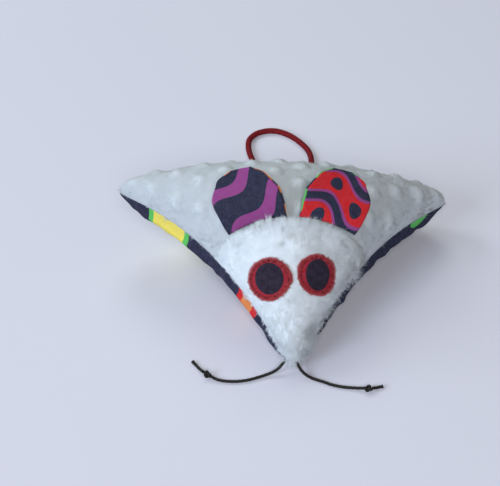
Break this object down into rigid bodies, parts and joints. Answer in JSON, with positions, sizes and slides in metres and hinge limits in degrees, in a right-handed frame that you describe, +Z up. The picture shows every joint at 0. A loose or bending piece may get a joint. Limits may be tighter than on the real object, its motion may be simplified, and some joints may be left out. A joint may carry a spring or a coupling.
{
  "type": "plush toy mouse",
  "caption": "Stuffed plush toy mouse with a three-cornered body, printed belly, cloth ears, round eyes, knotted cord whiskers and a cord loop tail.",
  "frame": {"origin": "middle of the stuffed body's and ears' box, on the surface that the belly rests on", "axes": "+X towards the viewer's right wing tip, -Y towards the nose, +Z up from the surface"},
  "size_m": [0.2304, 0.2676, 0.0932],
  "materials": {
    "dimple_plush": "pale blue-white plush with raised dots",
    "smooth_plush": "pale blue-white short pile plush",
    "printed_cotton": "woven cotton with a bright print on navy",
    "lining_cotton": "woven cotton with an orange and green print",
    "eye_cotton": "woven cotton, red round a navy middle",
    "eye_thread": "dark red sewing thread, close zigzag",
    "seam_thread": "pale polyester sewing thread",
    "filling": "loose white polyester fibre",
    "whisker_cord": "black waxed round cord",
    "tail_cord": "dark red braided round cord"
  },
  "bodies": {
    "body": {"body_panel": "dimple_plush", "head_panel": "smooth_plush", "belly_panel": "printed_cotton", "stuffing": "filling", "left_side_thread": "seam_thread", "right_side_thread": "seam_thread", "rear_thread": "seam_thread", "head_seam_thread": "seam_thread", "left_eye_patch": "eye_cotton", "left_eye_stitching": "eye_thread", "right_eye_patch": "eye_cotton", "right_eye_stitching": "eye_thread"},
    "left_ear": {"left_ear_front": "printed_cotton", "left_ear_back": "lining_cotton"},
    "right_ear": {"right_ear_front": "printed_cotton", "right_ear_back": "lining_cotton"},
    "left_whisker": {"left_whisker": "whisker_cord", "left_whisker_knot": "whisker_cord", "left_whisker_end": "whisker_cord"},
    "right_whisker": {"right_whisker": "whisker_cord", "right_whisker_knot": "whisker_cord", "right_whisker_end": "whisker_cord"},
    "tail": {"tail_loop": "tail_cord"}
  },
  "joints": [
    {"name": "left_ear_fold", "type": "hinge", "parent": "body", "child": "left_ear", "pos_m": [-0.0228, -0.00205, 0.07101], "axis": [0.9765, 0, 0.2154], "range_deg": [0, 110]},
    {"name": "right_ear_fold", "type": "hinge", "parent": "body", "child": "right_ear", "pos_m": [0.02481, -0.00205, 0.06712], "axis": [0.9372, 0, -0.3489], "range_deg": [0, 110]},
    {"name": "left_whisker_swing", "type": "hinge", "parent": "body", "child": "left_whisker", "pos_m": [-0.0079, -0.068, 0.0076], "axis": [0, 0, 1], "range_deg": [-20, 20]},
    {"name": "right_whisker_swing", "type": "hinge", "parent": "body", "child": "right_whisker", "pos_m": [-0.0012, -0.0698, 0.0065], "axis": [0, 0, 1], "range_deg": [-20, 20]},
    {"name": "tail_lift", "type": "hinge", "parent": "body", "child": "tail", "pos_m": [0.00215, 0.0742, 0.0307], "axis": [0.9935, 0, -0.1138], "range_deg": [0, 90]}
  ]
}
